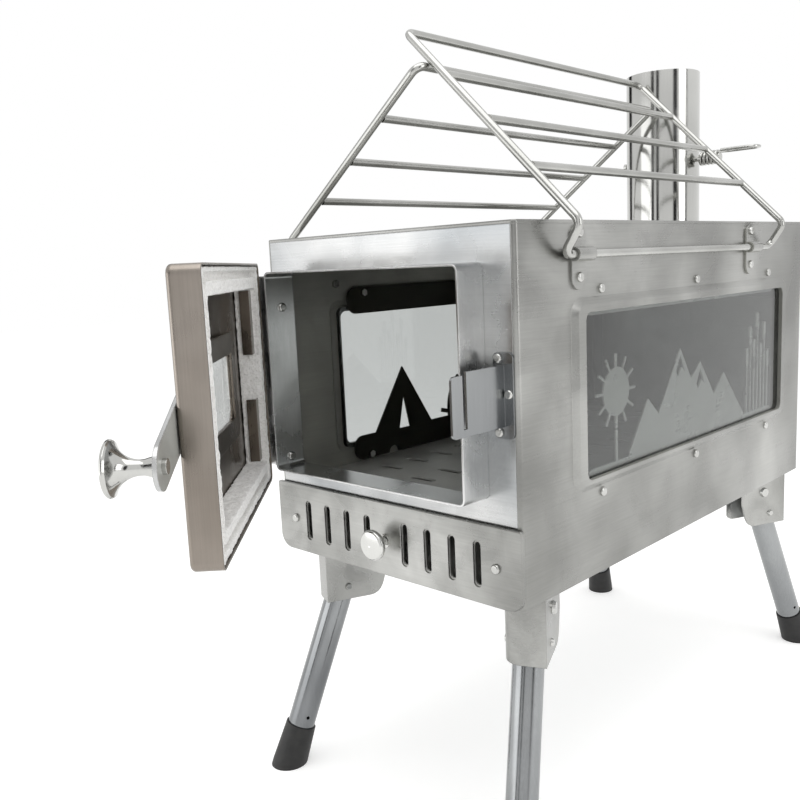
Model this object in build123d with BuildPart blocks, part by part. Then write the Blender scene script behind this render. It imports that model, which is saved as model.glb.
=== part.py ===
"""A folding camping wood stove: firebox, glazed door, ash drawer, folding racks, legs and flue damper."""

import os
from math import acos, atan2, cos, degrees, pi, radians, sin, sqrt, tan

from build123d import *

os.makedirs("parts", exist_ok=True)

# Driving sizes, in millimetres and degrees
body_width = 203.0
body_length = 400.0
body_height = 209.0
ground_clearance = 160.0
corner_radius = 3.0
sheet = 1.2
top_sheet = 2.0
fit_gap = 0.3
seat = 0.02

# Firebox mouth and its collar
mouth_width = 160.0
mouth_height = 128.5
mouth_drop = 21.0
collar_depth = 21.2
collar_radius = 4.0
sill_height = 13.5

# Side windows
window_length = 290.0
window_height = 97.5
window_drop = 100.25
window_centre_y = 6.0
window_radius = 5.0
bead_length = 312.0
bead_height = 112.5
bead_lift = 1.0
bead_proud = 3.0
bead_run = 4.0
bead_radius = 10.0
glass_sheet = 3.0
glass_lap = 3.0
clamp_top_width = 19.4
clamp_low_width = 18.0
clamp_end = 15.7
clamp_top_shift = 5.5
clamp_low_shift = 5.8
clamp_notch_radius = 5.0
clamp_notch_at = 97.5
screw_row_drop = 38.8
screw_row_low_drop = 159.6
screw_pitch = 122.8
screw_back = 1.6
washer_radius = 2.9
screw_radius = 1.5
screw_head_radius = 2.9
screw_head_height = 1.9
nut_radius = 2.8
nut_height = 2.4

# Door
door_width = 180.5
door_height = 141.0
door_drop = 15.3
door_depth = 15.9
door_standoff = 16.5
door_radius = 5.0
door_rest_angle = 45.0
door_open_angle = 105.0
pin_radius = 1.5
knuckle_radius = 2.6
knuckle_side_gap = 0.3
pin_from_rim = 8.6
hinge_screw_drops = (43.8, 142.0)
gasket_width = 14.5
gasket_sink = 0.3
groove_depth = 5.0
groove_gap = 1.0
groove_hinge_gap = 3.0
retainer_sheet = 0.8
retainer_leg = 6.0
retainer_length = 40.0
retainer_middles = (-34.5, 34.0)
door_window_width = 60.0
door_window_height = 40.0
door_window_drop = 69.7
door_window_chamfer = 6.0
door_glass_margin = 5.0
door_frame_margin = 11.0

# Latch
lever_pivot_inset = 30.5
lever_pivot_drop = 80.5
lever_length = 60.0
lever_half_height = 11.5
lever_end_radius = 10.5
lever_hang_angle = 18.0
lever_sheet = 2.0
lever_gap = 0.6
knob_length = 22.0
knob_radius = 12.6
knob_foot_radius = 4.8
knob_neck_radius = 3.6

# Keeper
keeper_sheet = 1.5
keeper_gap = 1.6
keeper_reach = 44.0
keeper_height = 33.0
keeper_drop = 74.5
keeper_slot_depth = 29.0
keeper_prong_drop = 1.5
keeper_corner_radius = 2.5
keeper_slot_clearance = 0.5
keeper_foot_width = 13.0
keeper_foot_height = 46.0

# Ash drawer and grate
drawer_front_proud = 3.0
drawer_front_overhang = 1.5
drawer_front_radius = 10.0
drawer_tray_length = 352.0
drawer_tray_height = 34.0
drawer_side_gap = 4.0
drawer_travel = 330.0
air_slots_per_side = 4
air_slot_pitch = 18.7
air_slot_start = 16.0
air_slot_height = 27.0
air_slot_width = 5.6
drawer_knob_radius = 9.5
drawer_knob_length = 14.0
drawer_knob_head = 5.4
drawer_knob_foot_radius = 4.4
drawer_knob_neck_radius = 2.8
drawer_screw_inset = 17.5
grate_sheet = 1.5
grate_side_gap = 1.0
grate_slot_length = 21.0
grate_slot_width = 6.0
grate_columns = 4
grate_rows = 14
grate_pitch_x = 43.6
grate_pitch_y = 27.5
grate_pattern_back = -5.2
rail_width = 10.0

# Legs
leg_azimuth = 66.0
leg_tilt = 20.4
leg_radius = 9.5
leg_wall = 1.0
leg_pivot_x = 78.5
leg_pivot_inset = 38.2
leg_pivot_drop = 14.0
leg_head = 9.0
leg_pin_radius = 3.0
leg_pin_head_radius = 4.2
leg_pin_head_height = 2.0
leg_shoulder_radius = 4.5
leg_running_gap = 0.05
bracket_inner = 23.0
bracket_sheet = 1.5
bracket_nose = 22.6
bracket_nose_radius = 11.0
bracket_tail = 22.7
bracket_height = 42.0
bracket_tail_radius = 14.0
bracket_tail_rise = 22.0
foot_top_radius = 10.6
foot_sole_radius = 12.2
foot_sole_thickness = 6.0
leg_hole_radius = 1.2
leg_hole_rise = 8.0
foot_length = 29.0
button_radius = 2.6
button_drop = 20.0
button_height = 1.6

# Racks
wire_radius = 2.5
rack_pivot_out = 4.0
rack_pivot_drop = 18.8
rack_crank_out = 11.0
rack_crank_rise = 16.5
rack_arm = 168.7
rack_seat_back = 27.0
rack_rest_gap = 0.3
rack_span = 280.0
rack_front_inset = 38.0
rack_left_shift = -8.0
rack_right_angle = 45.0
rack_bar_first = 41.5
rack_bar_pitch = 40.7
rack_left_bar_pitch = 37.5
rack_bars = 3
rack_bend_radius = 6.0
knuckle_length = 17.0
rack_knuckle_radius = 3.9
rack_front_knuckle = 57.0
rack_rear_knuckle = 290.0
rack_plate_width = 14.0
rack_plate_height = 36.0
rack_plate_drop = 2.5
rack_screw_drops = (7.0, 31.5)

# Flue and damper
flue_radius = 30.0
flue_wall = 0.8
flue_inset = 46.0
flue_height = 130.0
spigot_height = 25.0
spigot_flange = 9.0
damper_height = 56.0
damper_shaft_radius = 2.0
damper_plate_gap = 1.2
damper_sheet = 1.0
handle_wire_radius = 1.25
handle_coil_radius = 4.6
handle_coil_pitch = 3.05
handle_coil_turns = 5
handle_loop_length = 26.0
handle_loop_half = 7.0

# Small margins, roundings and clearances
hinge_screw_shift = 1.5
rear_gap = 4.0
rear_margin = 10.0
cook_top_chamfer = 0.6
grate_clearance = 1.0
grate_shift = 0.8
rail_margin = 12.0
clamp_round_cut = 0.5
scene_overlap = 1.0
scene_margin = 6.0
ray_width = 1.8
ray_root = 2.0
post_width = 2.2
reed_width = 1.6
reed_sink = 2.0
reed_head_length = 14.0
reed_head_width = 4.0
log_lean = 28.0
log_length = 40.0
log_width = 3.4
moon_bite_x = 6.0
moon_bite_z = 3.0
screw_round_share = 0.7
leaf_margin = 16.0
leaf_root = 1.0
pin_head_height = 1.5
pin_clearance = 0.2
door_round = 2.6
frame_screw_out = 8.0
frame_corner_chamfer = 4.0
frame_screw_radius = 2.4
knob_screw_radius = 3.4
knob_screw_height = 1.6
lever_play = 0.1
pivot_head_radius = 4.2
pivot_head_height = 1.8
pivot_head_round = 1.2
lever_spacer_radius = 3.6
keeper_rivet_out = 3.6
keeper_rivet_in = 3.0
keeper_rivet_lift = 1.0
keeper_rivet_rise = 3.4
keeper_rivet_radius = 2.6
keeper_rivet_height = 1.6
keeper_rivet_round = 1.1
drawer_gap = 0.4
drawer_overlap = 1.0
slot_drop = 0.5
drawer_corner_round = 1.5
drawer_edge_round = 0.8
head_taper = 22.0
handle_start_gap = 5.0
shaft_far_gap = 6.0
shaft_collar_extra = 1.2
shaft_collar_width = 2.5

# Places worked out from the sizes above
half_width = body_width / 2
half_length = body_length / 2
bottom_z = ground_clearance
top_z = ground_clearance + body_height
wall_top_z = top_z - top_sheet
wall_height = wall_top_z - bottom_z
inner_half = half_width - sheet
inner_length = body_length - 2 * sheet
mouth_top_z = top_z - mouth_drop
mouth_z = mouth_top_z - mouth_height / 2
mouth_bottom_z = mouth_top_z - mouth_height
sill_z = mouth_bottom_z - sill_height
door_z = top_z - door_drop - door_height / 2
flue_y = half_length - flue_inset


def save(part, name):
    part.label = name
    export_step(part, f"parts/{name}.step")


# Casing: two side panels, front, rear, cooktop and floor
window_z = top_z - window_drop
bead_plane = Plane((half_width, window_centre_y, window_z), x_dir=(0, 1, 0), z_dir=(1, 0, 0))
bead_slope = degrees(atan2(bead_run, bead_proud))
bead_inset = sheet * tan(radians(90 - bead_slope) / 2)
screw_rows = [top_z - screw_row_drop, top_z - screw_row_low_drop]
screw_places = [(screw_pitch * i - screw_back, z - window_z) for z in screw_rows for i in (-1, 0, 1)]
rack_screw_z = [top_z - drop for drop in rack_screw_drops]
knuckle_y = [-half_length + rack_front_knuckle, -half_length + rack_rear_knuckle]
rack_screw_places = [(y - window_centre_y, z - window_z) for y in knuckle_y for z in rack_screw_z]

with BuildPart() as side_panel_right:
    with BuildSketch(Plane.XY.offset(bottom_z)):
        RectangleRounded(body_width, body_length, corner_radius)
        RectangleRounded(body_width - 2 * sheet, inner_length, corner_radius - sheet, mode=Mode.SUBTRACT)
    extrude(amount=wall_height)
    with BuildSketch(Plane.XY.offset(bottom_z)):
        Rectangle(body_width, body_length + 2)
        with Locations((half_width, 0)):
            Rectangle(2 * corner_radius, body_length + 2, mode=Mode.SUBTRACT)
    extrude(amount=wall_height, mode=Mode.SUBTRACT)
    with BuildSketch(bead_plane):
        with Locations((0, bead_lift)):
            RectangleRounded(bead_length, bead_height, bead_radius)
    extrude(amount=bead_proud, taper=bead_slope)
    with BuildSketch(bead_plane.offset(-sheet)):
        with Locations((0, bead_lift)):
            RectangleRounded(
                bead_length - 2 * bead_inset, bead_height - 2 * bead_inset, bead_radius - bead_inset
            )
    extrude(amount=bead_proud, taper=bead_slope, mode=Mode.SUBTRACT)
    with BuildSketch(bead_plane):
        RectangleRounded(window_length + 2 * sheet, window_height + 2 * sheet, window_radius + sheet)
    extrude(amount=bead_proud - sheet / 2)
    with BuildSketch(bead_plane.offset(-2 * sheet)):
        RectangleRounded(window_length, window_height, window_radius)
    extrude(amount=bead_proud + 4 * sheet, mode=Mode.SUBTRACT)
    with BuildSketch(bead_plane.offset(-2 * sheet)):
        with Locations(*screw_places, *rack_screw_places):
            Circle(screw_radius + seat)
    extrude(amount=3 * sheet, mode=Mode.SUBTRACT)

with BuildPart() as side_panel_left:
    mirror(side_panel_right.part, about=Plane.YZ)
save(side_panel_right.part, "side_panel_right")
save(side_panel_left.part, "side_panel_left")

front_panel_half = half_width - corner_radius
front_plane = Plane.XZ.offset(half_length)
with BuildPart() as front_panel:
    with BuildSketch(front_plane.offset(-sheet)):
        with Locations((0, (wall_top_z + sill_z) / 2)):
            Rectangle(2 * front_panel_half, wall_top_z - sill_z)
        with Locations((0, mouth_z)):
            RectangleRounded(mouth_width, mouth_height, collar_radius, mode=Mode.SUBTRACT)
    extrude(amount=sheet)
save(front_panel.part, "front_panel")

collar_x = -mouth_width / 2
hinge_screw_y = -half_length - collar_depth / 2 + hinge_screw_shift
hinge_screw_places = [(collar_x + sheet, hinge_screw_y, top_z - drop) for drop in hinge_screw_drops]
with BuildPart() as door_collar:
    with BuildSketch(front_plane.offset(-sheet)):
        with Locations((0, mouth_z)):
            RectangleRounded(mouth_width, mouth_height, collar_radius)
            RectangleRounded(
                mouth_width - 2 * sheet, mouth_height - 2 * sheet, collar_radius - sheet, mode=Mode.SUBTRACT
            )
    extrude(amount=collar_depth + sheet)
    with BuildSketch(Plane.YZ.offset(collar_x - 2 * sheet)):
        with Locations(*[(y, z) for _, y, z in hinge_screw_places]):
            Circle(screw_radius + seat)
    extrude(amount=4 * sheet, mode=Mode.SUBTRACT)
save(door_collar.part, "door_collar")

with BuildPart() as rear_panel:
    with BuildSketch(Plane.XZ.offset(-half_length)):
        with Locations((0, (wall_top_z + bottom_z) / 2)):
            Rectangle(2 * front_panel_half, wall_height)
    extrude(amount=sheet)
    with BuildSketch(Plane.XZ.offset(-half_length + sheet)):
        with Locations((0, (wall_top_z + bottom_z) / 2)):
            Rectangle(2 * front_panel_half, wall_height - rear_gap)
            Rectangle(
                2 * (front_panel_half - rear_margin), wall_height - rear_gap - 2 * rear_margin, mode=Mode.SUBTRACT
            )
    extrude(amount=sheet)
save(rear_panel.part, "rear_panel")

with BuildPart() as cook_top:
    with BuildSketch(Plane.XY.offset(wall_top_z)):
        RectangleRounded(body_width, body_length, corner_radius)
        with Locations((0, flue_y)):
            Circle(flue_radius + fit_gap, mode=Mode.SUBTRACT)
    extrude(amount=top_sheet)
    chamfer(cook_top.faces().sort_by(Axis.Z)[-1].outer_wire().edges(), cook_top_chamfer)
save(cook_top.part, "cook_top")

floor_half = inner_half
with BuildPart() as floor_plate:
    with BuildSketch(Plane.XY.offset(bottom_z)):
        Rectangle(2 * floor_half, body_length - 2 * corner_radius)
        with Locations((0, -half_length + corner_radius / 2 + sheet / 2)):
            Rectangle(2 * front_panel_half, corner_radius - sheet)
    extrude(amount=sheet)
save(floor_plate.part, "floor_plate")

# Grate and the rails that carry it
grate_z = sill_z - grate_sheet - grate_clearance
grate_half = inner_half - grate_side_gap
grate_length = inner_length - 2 * sheet - grate_clearance
with BuildPart() as fire_grate:
    with BuildSketch(Plane.XY.offset(grate_z)):
        with Locations((0, -grate_shift)):
            Rectangle(2 * grate_half, grate_length)
        for column in range(grate_columns):
            x = (column - (grate_columns - 1) / 2) * grate_pitch_x
            with Locations((x, grate_pattern_back)):
                with GridLocations(1, grate_pitch_y, 1, grate_rows - column % 2):
                    SlotOverall(grate_slot_length, grate_slot_width, mode=Mode.SUBTRACT)
    extrude(amount=grate_sheet)
save(fire_grate.part, "fire_grate")

with BuildPart() as grate_rails:
    for side in (-1, 1):
        with BuildSketch(Plane.XZ.offset(-half_length + rail_margin)):
            with Locations((side * (inner_half - rail_width / 2), grate_z - sheet / 2)):
                Rectangle(rail_width, sheet)
            with Locations((side * (inner_half - sheet / 2), grate_z - rail_width / 2)):
                Rectangle(sheet, rail_width)
        extrude(amount=body_length - 2 * rail_margin)
save(grate_rails.part, "grate_rails")

# Window glass, clamps with cut scenes, spacers and screws
glass_height = window_height + 2 * glass_lap
glass_x = half_width - glass_sheet
clamp_x = glass_x - sheet
clamp_length = 2 * (screw_pitch + clamp_end)
glass_plane = Plane((glass_x, window_centre_y, window_z), x_dir=(0, 1, 0), z_dir=(1, 0, 0))
clamp_plane = Plane((clamp_x, window_centre_y, window_z), x_dir=(0, 1, 0), z_dir=(1, 0, 0))


def mirrored(right_part, name):
    """The left-hand copy of a right-hand piece."""
    with BuildPart() as left:
        mirror(right_part, about=Plane.YZ)
    save(left.part, name)


with BuildPart() as window_glass:
    with BuildSketch(glass_plane):
        RectangleRounded(window_length + 2 * glass_lap, glass_height, window_radius)
    extrude(amount=glass_sheet)
save(window_glass.part, "window_glass_right")
mirrored(window_glass.part, "window_glass_left")

clamp_top_z = screw_rows[0] - window_z - clamp_top_shift
clamp_low_z = screw_rows[1] - window_z + clamp_low_shift
notch_z = clamp_low_z - clamp_low_width / 2
with BuildPart() as window_clamp:
    with BuildSketch(clamp_plane):
        with Locations((-screw_back, clamp_top_z)):
            RectangleRounded(clamp_length, clamp_top_width, clamp_low_width / 2 - clamp_round_cut)
        with Locations(*screw_places[:3]):
            Circle(screw_radius + seat, mode=Mode.SUBTRACT)
    extrude(amount=sheet)
save(window_clamp.part, "window_clamp_right")
mirrored(window_clamp.part, "window_clamp_left")


def clamp_with_notches():
    """Lower clamp strip, the base that a cut scene stands on."""
    with Locations((-screw_back, clamp_low_z)):
        RectangleRounded(clamp_length, clamp_low_width, clamp_low_width / 2 - clamp_round_cut)
    with Locations(*screw_places[3:]):
        Circle(screw_radius + seat, mode=Mode.SUBTRACT)
    with Locations((-screw_back - clamp_notch_at, notch_z), (clamp_notch_at - screw_back, notch_z)):
        Circle(clamp_notch_radius, mode=Mode.SUBTRACT)


scene_base = clamp_low_z + clamp_low_width / 2 - scene_overlap
scene_half = window_length / 2 - scene_margin

# The right scene: a sun, a ridge of peaks and reeds
sun_radius = 15.0
sun_inset = 34.0
sun_rise = 44.0
sun_at = (-scene_half + sun_inset, scene_base + sun_rise)
ray_count = 12
ray_length = 7.0
peaks = [(-92, 0), (-66, 34), (-52, 22), (-22, 62), (-6, 40), (8, 50), (30, 24), (46, 38), (70, 14), (84, 0)]
snow_peaks = [(-22, 62), (8, 50)]
reed_count = 7
reed_start = 88.0
reed_pitch = 6.5
reed_heights = (44, 60, 50, 70, 46, 62, 40)
with BuildPart() as scene_right:
    with BuildSketch(clamp_plane):
        clamp_with_notches()
        with BuildLine():
            Polyline(*[(x, scene_base + z) for x, z in peaks], close=True)
        make_face()
        for x, z in snow_peaks:
            with BuildLine():
                Polyline(
                    (x, scene_base + z - 5), (x + 7, scene_base + z - 17), (x + 2, scene_base + z - 13),
                    (x - 3, scene_base + z - 19), (x - 6, scene_base + z - 15), close=True,
                )
            make_face(mode=Mode.SUBTRACT)
        with Locations(sun_at):
            Circle(sun_radius)
            with PolarLocations(sun_radius + ray_length / 2, ray_count):
                Rectangle(ray_length + ray_root, ray_width)
        with Locations((sun_at[0], (sun_at[1] + scene_base) / 2)):
            Rectangle(post_width, sun_at[1] - scene_base)
        for i in range(reed_count):
            x = reed_start + i * reed_pitch
            with Locations((x, scene_base + reed_heights[i] / 2)):
                Rectangle(reed_width, reed_heights[i] + reed_sink)
            with Locations((x, scene_base + reed_heights[i])):
                SlotOverall(reed_head_length, reed_head_width, rotation=90)
    extrude(amount=sheet)
save(scene_right.part, "window_scene_right")

# The left scene: a tent, a campfire and a crescent moon
tent = [(-118, 0), (-86, 48), (-54, 0)]
tent_door = [(-92, 0), (-86, 26), (-80, 0)]
flame_at = (-22, 0)
flame_height = 34.0
flame_half = 11.0
moon_at = (22, 56)
moon_radius = 13.0
hill_left = [(40, 0), (74, 30), (92, 18), (112, 44), (126, 0)]
with BuildPart() as scene_left:
    with BuildSketch(Plane((-clamp_x - sheet, window_centre_y, window_z), x_dir=(0, 1, 0), z_dir=(1, 0, 0))):
        clamp_with_notches()
        for outline in (tent, hill_left):
            with BuildLine():
                Polyline(*[(x, scene_base + z) for x, z in outline], close=True)
            make_face()
        with BuildLine():
            Polyline(*[(x, scene_base + z) for x, z in tent_door], close=True)
        make_face(mode=Mode.SUBTRACT)
        with BuildLine():
            tip = (flame_at[0] + 2, scene_base + flame_height)
            low_left = (flame_at[0] - flame_half, scene_base)
            low_right = (flame_at[0] + flame_half, scene_base)
            ThreePointArc(low_left, (flame_at[0] - flame_half + 1, scene_base + 17), tip)
            ThreePointArc(tip, (flame_at[0] + flame_half - 1, scene_base + 15), low_right)
            Line(low_right, low_left)
        make_face()
        for lean in (-log_lean, log_lean):
            with Locations((flame_at[0], scene_base + 2)):
                Rectangle(log_length, log_width, rotation=lean / 2)
        with Locations((moon_at[0], scene_base + moon_at[1])):
            Circle(moon_radius)
        with Locations((moon_at[0] + moon_bite_x, scene_base + moon_at[1] + moon_bite_z)):
            Circle(moon_radius - 2, mode=Mode.SUBTRACT)
        with Locations((moon_at[0] - moon_radius + 4, scene_base + moon_at[1] / 2 - 3)):
            Rectangle(2.0, moon_at[1] - 4)
    extrude(amount=sheet)
save(scene_left.part, "window_scene_left")

with BuildPart() as window_spacers:
    for side in (-1, 1):
        face = Plane((side * glass_x, window_centre_y, window_z), x_dir=(0, 1, 0), z_dir=(side, 0, 0))
        with BuildSketch(face):
            with Locations(*[(x, side * z) for x, z in screw_places]):
                Circle(washer_radius)
                Circle(screw_radius + seat, mode=Mode.SUBTRACT)
        extrude(amount=inner_half - glass_x)
save(window_spacers.part, "window_spacers")


def dome_screw(place, direction, grip, with_nut):
    """One dome-headed screw: head outside at its place, shank through the grip, nut inside."""
    head = Plane(place, z_dir=direction)
    with BuildPart() as one:
        with BuildSketch(head):
            Circle(screw_head_radius)
        extrude(amount=screw_head_height)
        crown = one.faces().sort_by(Axis(head.origin, head.z_dir))[-1]
        fillet(crown.edges(), screw_head_height * screw_round_share)
        with BuildSketch(head):
            Circle(screw_radius)
        extrude(amount=-grip)
        if with_nut:
            with BuildSketch(head.offset(-grip)):
                RegularPolygon(nut_radius, 6)
            extrude(amount=-nut_height)
    return one.part


def screw_group(name, places, direction_of, grip, with_nut=True):
    """A group of equal screws as separate solids in one node."""
    made = [dome_screw(place, direction_of(place), grip, with_nut) for place in places]
    with BuildPart() as group:
        for one in made:
            add(one)
    save(group.part, name)


def crown_middle(radius, top, rise):
    """Halfway point on a domed crown of the given radius and rise, centred on the turning axis."""
    ball = (radius**2 + rise**2) / (2 * abs(rise))
    sink = ball - sqrt(ball**2 - radius**2 / 4)
    return (radius / 2, top - sink if rise > 0 else top + sink)


def outward(place):
    return (1, 0, 0) if place[0] > 0 else (-1, 0, 0)


window_screw_places = [
    (side * half_width, window_centre_y + y, window_z + z) for side in (-1, 1) for y, z in screw_places
]
screw_group("window_screws", window_screw_places, outward, half_width - clamp_x)

# Hinge: fixed leaf on the collar, pin and the door's own knuckles
hinge_x = -(door_width / 2 + knuckle_radius + knuckle_side_gap)
hinge_y = -half_length - door_standoff - pin_from_rim
leaf_height = door_height - leaf_margin
leaf_low_z = door_z - leaf_height / 2
knuckle_count = 5
knuckle_step = leaf_height / knuckle_count
leaf_y = -half_length - door_standoff + knuckle_radius
leaf_out_x = hinge_x - knuckle_radius
fixed_knuckles = [i for i in range(knuckle_count) if i % 2 == 0]
moving_knuckles = [i for i in range(knuckle_count) if i % 2 == 1]

with BuildPart() as hinge_leaf:
    with BuildSketch(Plane.XY.offset(leaf_low_z)):
        with BuildLine():
            Polyline(
                (collar_x, -half_length),
                (collar_x, leaf_y - sheet),
                (leaf_out_x + sheet, leaf_y - sheet),
                (leaf_out_x + sheet, hinge_y + knuckle_radius + leaf_root),
                (leaf_out_x, hinge_y + knuckle_radius + leaf_root),
                (leaf_out_x, leaf_y),
                (collar_x - sheet, leaf_y),
                (collar_x - sheet, -half_length),
                close=True,
            )
        make_face()
    extrude(amount=leaf_height)
    for i in fixed_knuckles:
        low = leaf_low_z + i * knuckle_step + (fit_gap / 2 if i else 0)
        high = leaf_low_z + (i + 1) * knuckle_step - (fit_gap / 2 if i < knuckle_count - 1 else 0)
        with BuildSketch(Plane.XY.offset(low)):
            with Locations((leaf_out_x + sheet / 2, hinge_y + (knuckle_radius + leaf_root) / 2)):
                Rectangle(sheet, knuckle_radius + leaf_root)
            with Locations((hinge_x, hinge_y)):
                Circle(knuckle_radius)
                Circle(pin_radius + seat, mode=Mode.SUBTRACT)
        extrude(amount=high - low)
    with BuildSketch(Plane.YZ.offset(collar_x - 2 * sheet)):
        with Locations(*[(y, z) for _, y, z in hinge_screw_places]):
            Circle(screw_radius + seat)
    extrude(amount=4 * sheet, mode=Mode.SUBTRACT)
save(hinge_leaf.part, "hinge_leaf")

with BuildPart() as hinge_pin:
    with BuildSketch(Plane.XY.offset(leaf_low_z - pin_head_height)):
        with Locations((hinge_x, hinge_y)):
            Circle(pin_radius)
    extrude(amount=leaf_height + 3)
    with BuildSketch(Plane.XY.offset(leaf_low_z + leaf_height)):
        with Locations((hinge_x, hinge_y)):
            Circle(knuckle_radius - pin_clearance)
    extrude(amount=pin_head_height)
save(hinge_pin.part, "hinge_pin")

screw_group("hinge_screws", hinge_screw_places, lambda place: (1, 0, 0), 2 * sheet, with_nut=False)

# Door, drawn shut and then turned about the hinge pin to its rest angle
door_half = door_width / 2
rim_y = -half_length - door_standoff
face_y = rim_y - door_depth
hinge_axis = Axis((hinge_x, hinge_y, 0), (0, 0, 1))
door_window_z = top_z - door_drop - door_window_drop


def opened(part, name):
    """Turns a piece drawn with the door shut to the rest angle, and writes it."""
    with BuildPart() as turned:
        add(part.rotate(hinge_axis, -door_rest_angle))
    save(turned.part, name)


with BuildPart() as door_shell:
    with BuildSketch(Plane.XZ.offset(-rim_y)):
        with Locations((0, door_z)):
            RectangleRounded(door_width, door_height, door_radius)
    extrude(amount=door_depth)
    fillet(door_shell.faces().sort_by(Axis.Y)[0].outer_wire().edges(), door_round)
    with BuildSketch(Plane.XZ.offset(-rim_y)):
        with Locations((0, door_z)):
            RectangleRounded(door_width - 2 * sheet, door_height - 2 * sheet, door_radius - sheet)
    extrude(amount=door_depth - sheet, mode=Mode.SUBTRACT)
    with BuildSketch(Plane.XZ.offset(-rim_y)):
        with Locations((0, door_window_z)):
            Rectangle(door_window_width, door_window_height)
        chamfer(vertices(), door_window_chamfer)
    extrude(amount=door_depth + 1, mode=Mode.SUBTRACT)
    lever_pivot = (door_half - lever_pivot_inset, top_z - lever_pivot_drop)
    with BuildSketch(Plane.XZ.offset(-face_y - 3 * sheet)):
        with Locations(lever_pivot):
            Circle(screw_radius + seat)
    extrude(amount=4 * sheet, mode=Mode.SUBTRACT)
opened(door_shell.part, "door_shell")

inner_face_y = face_y + sheet
with BuildPart() as door_glass:
    with BuildSketch(Plane.XZ.offset(-inner_face_y)):
        with Locations((0, door_window_z)):
            Rectangle(door_window_width + 2 * door_glass_margin, door_window_height + 2 * door_glass_margin)
    extrude(amount=-glass_sheet)
opened(door_glass.part, "door_glass")

door_frame_y = inner_face_y + glass_sheet
frame_screws = [
    (
        x * (door_window_width / 2 + frame_screw_out),
        door_window_z + z * (door_window_height / 2 + frame_screw_out),
    )
    for x in (-1, 1) for z in (-1, 1)
]
with BuildPart() as door_glass_frame:
    with BuildSketch(Plane.XZ.offset(-door_frame_y)):
        with Locations((0, door_window_z)):
            Rectangle(door_window_width + 2 * door_frame_margin, door_window_height + 2 * door_frame_margin)
        chamfer(vertices(), frame_corner_chamfer)
        with Locations((0, door_window_z)):
            Rectangle(door_window_width - 2, door_window_height - 2, mode=Mode.SUBTRACT)
    extrude(amount=-sheet)
    for x, z in frame_screws:
        with BuildSketch(Plane.XZ.offset(-door_frame_y)):
            with Locations((x, z)):
                Circle(frame_screw_radius)
        extrude(amount=glass_sheet)
opened(door_glass_frame.part, "door_glass_frame")

gasket_half = door_half - sheet - gasket_width
gasket_outer = (door_width - 2 * sheet, door_height - 2 * sheet)
gasket_inner = (2 * gasket_half, gasket_outer[1] - 2 * gasket_width)
groove_y = rim_y - groove_depth
groove_left = mouth_width / 2 + groove_hinge_gap
groove_outer = (groove_left + mouth_width / 2 + groove_gap, mouth_height + 2 * groove_gap)
groove_inner = (mouth_width - 2 * sheet - 2 * groove_gap, mouth_height - 2 * sheet - 2 * groove_gap)
with BuildPart() as door_gasket:
    with BuildSketch(Plane.XZ.offset(-rim_y + gasket_sink)):
        with Locations((0, door_z)):
            RectangleRounded(*gasket_outer, door_radius - sheet)
            Rectangle(*gasket_inner, mode=Mode.SUBTRACT)
    extrude(amount=door_depth - sheet - gasket_sink)
    with BuildSketch(Plane.XZ.offset(-rim_y)):
        with Locations((groove_outer[0] / 2 - groove_left, mouth_z)):
            Rectangle(*groove_outer)
        with Locations((0, mouth_z)):
            Rectangle(*groove_inner, mode=Mode.SUBTRACT)
    extrude(amount=groove_depth, mode=Mode.SUBTRACT)
    with BuildSketch(Plane.XZ.offset(-rim_y)):
        with Locations(*[(-(groove_left + gasket_half) / 2, door_z + middle) for middle in retainer_middles]):
            Rectangle(groove_left - gasket_half, retainer_length)
    extrude(amount=groove_depth + retainer_sheet, mode=Mode.SUBTRACT)
opened(door_gasket.part, "door_gasket")

retainer_x = retainer_sheet - gasket_half
with BuildPart() as gasket_retainer:
    for middle in retainer_middles:
        with BuildSketch(Plane.XY.offset(door_z + middle - retainer_length / 2)):
            with BuildLine():
                Polyline(
                    (-groove_left, groove_y),
                    (retainer_x, groove_y),
                    (retainer_x, groove_y - retainer_leg),
                    (-gasket_half, groove_y - retainer_leg),
                    (-gasket_half, groove_y - retainer_sheet),
                    (-groove_left, groove_y - retainer_sheet),
                    close=True,
                )
            make_face()
        extrude(amount=retainer_length)
opened(gasket_retainer.part, "gasket_retainers")

with BuildPart() as door_knuckles:
    for i in moving_knuckles:
        low = leaf_low_z + i * knuckle_step + fit_gap / 2
        with BuildSketch(Plane.XY.offset(low)):
            with Locations((hinge_x, hinge_y)):
                Circle(knuckle_radius)
            with Locations((hinge_x / 2 - door_half / 2, hinge_y)):
                Rectangle(-hinge_x - door_half, 2 * knuckle_radius)
            with Locations((hinge_x, hinge_y)):
                Circle(pin_radius + seat, mode=Mode.SUBTRACT)
        extrude(amount=knuckle_step - fit_gap)
opened(door_knuckles.part, "door_knuckles")

# Latch lever with its knob, pivoted on the door's face
lever_y = face_y - lever_gap
lever_way = (cos(radians(lever_hang_angle)), 0, -sin(radians(lever_hang_angle)))
lever_plane = Plane((lever_pivot[0], lever_y, lever_pivot[1]), x_dir=lever_way, z_dir=(0, -1, 0))
with BuildPart() as latch_lever:
    with BuildSketch(lever_plane):
        with BuildLine():
            Line((0, lever_half_height), (lever_length, lever_end_radius))
            RadiusArc((lever_length, lever_end_radius), (lever_length, -lever_end_radius), lever_end_radius)
            Line((lever_length, -lever_end_radius), (0, -lever_half_height))
            RadiusArc((0, -lever_half_height), (0, lever_half_height), lever_half_height)
        make_face()
        Circle(screw_radius + seat, mode=Mode.SUBTRACT)
        with Locations((lever_length, 0)):
            Circle(screw_radius + seat, mode=Mode.SUBTRACT)
    extrude(amount=lever_sheet)
opened(latch_lever.part, "latch_lever")

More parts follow.
